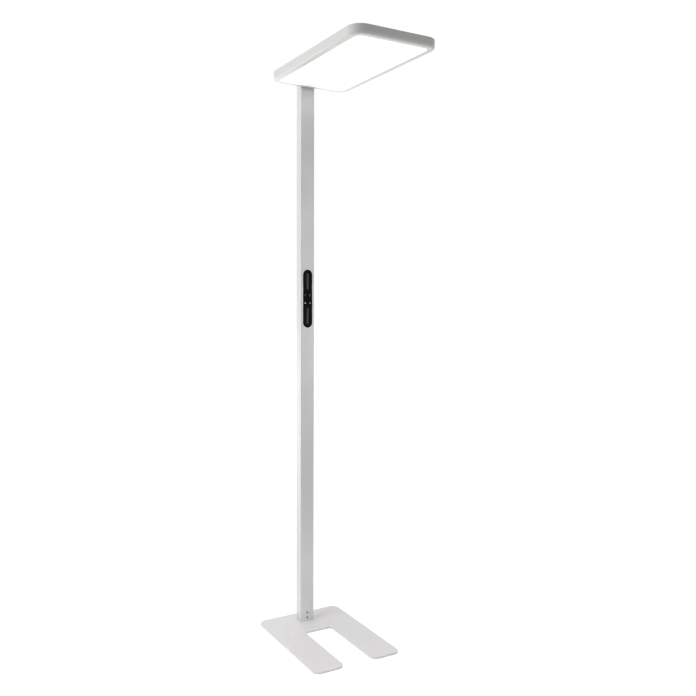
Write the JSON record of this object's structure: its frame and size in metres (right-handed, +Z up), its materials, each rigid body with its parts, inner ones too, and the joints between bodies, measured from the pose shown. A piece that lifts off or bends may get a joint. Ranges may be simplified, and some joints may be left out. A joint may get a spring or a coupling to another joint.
{
  "type": "office floor lamp",
  "caption": "Free-standing office floor lamp: flat rectangular light head on a slim rectangular pole with a key panel, on a flat base notched for a desk leg.",
  "frame": {"origin": "on the floor under the pole's axis, in the underside of the base", "axes": "+Z up along the pole, head and base legs towards -Y, +X to the lamp's right seen from its front"},
  "size_m": [0.32, 0.659, 1.95],
  "materials": {
    "powder_coat": "fine-textured light grey-white powder coat",
    "satin_profile": "extruded, satin anodised",
    "head_coat": "satin light grey-white coat",
    "white_plastic": "matt white moulding",
    "grey_rubber": "matt grey rubber",
    "felt": "dense dark grey felt",
    "zinc_steel": "zinc plated",
    "black_steel": "black oxide",
    "bare_aluminium": "milled",
    "sheet_metal": "mill finish",
    "lead_sheath": "pale grey flexible sheath",
    "black_fascia": "satin black",
    "black_key": "satin black, slightly lighter on the raised parts",
    "circuit_board": "green solder mask",
    "switch_plastic": "black",
    "opal_panel": "opal, lit evenly from behind",
    "clear_guide": "clear acrylic",
    "white_sheet": "matt white reflecting film",
    "light_strip": "white board with yellowish chips",
    "frosted_lens": "lightly frosted clear acrylic",
    "driver_case": "white case"
  },
  "bodies": {
    "lamp": {"base_plate": "powder_coat", "base_underlay": "felt", "base_screws": "zinc_steel", "foot_block": "bare_aluminium", "clamp_screws": "black_steel", "pole": "satin_profile", "pole_cap": "white_plastic", "cap_screws": "zinc_steel", "cable_inlet": "grey_rubber", "head_block": "bare_aluminium", "terminal_block": "white_plastic", "terminal_screws": "zinc_steel", "supply_lead": "lead_sheath", "control_lead": "lead_sheath", "control_frame": "white_plastic", "control_fascia": "black_fascia", "pivot_pins": "zinc_steel", "control_board": "circuit_board", "board_screws": "zinc_steel", "tact_switches": "switch_plastic", "head_frame": "head_coat", "head_cover": "head_coat", "cover_screws": "zinc_steel", "cover_standoffs": "zinc_steel", "chassis_plate": "sheet_metal", "chassis_screws": "zinc_steel", "head_bolts": "zinc_steel", "down_diffuser": "opal_panel", "light_guide": "clear_guide", "reflector_sheet": "white_sheet", "light_strips": "light_strip", "up_lens": "frosted_lens", "up_board": "light_strip", "led_driver": "driver_case", "driver_screws": "zinc_steel"},
    "upper_key": {"upper_key": "black_key"},
    "lower_key": {"lower_key": "black_key"},
    "upper_left_button": {"upper_left_button": "black_key"},
    "upper_right_button": {"upper_right_button": "black_key"},
    "lower_left_button": {"lower_left_button": "black_key"},
    "lower_right_button": {"lower_right_button": "black_key"}
  },
  "joints": [
    {"name": "upper_key_rock", "type": "hinge", "parent": "lamp", "child": "upper_key", "pos_m": [0, -0.0143, 1.2449], "axis": [1, 0, 0], "range_deg": [-2, 2], "stiffness_Nm_per_rad": 1},
    {"name": "lower_key_rock", "type": "hinge", "parent": "lamp", "child": "lower_key", "pos_m": [0, -0.0143, 1.1221], "axis": [1, 0, 0], "range_deg": [-2, 2], "stiffness_Nm_per_rad": 1},
    {"name": "upper_left_button_press", "type": "slide", "parent": "lamp", "child": "upper_left_button", "axis": [0, 1, 0], "range_m": [0, 0.0007], "stiffness_N_per_m": 1500},
    {"name": "upper_right_button_press", "type": "slide", "parent": "lamp", "child": "upper_right_button", "axis": [0, 1, 0], "range_m": [0, 0.0007], "stiffness_N_per_m": 1500},
    {"name": "lower_left_button_press", "type": "slide", "parent": "lamp", "child": "lower_left_button", "axis": [0, 1, 0], "range_m": [0, 0.0007], "stiffness_N_per_m": 1500},
    {"name": "lower_right_button_press", "type": "slide", "parent": "lamp", "child": "lower_right_button", "axis": [0, 1, 0], "range_m": [0, 0.0007], "stiffness_N_per_m": 1500}
  ]
}
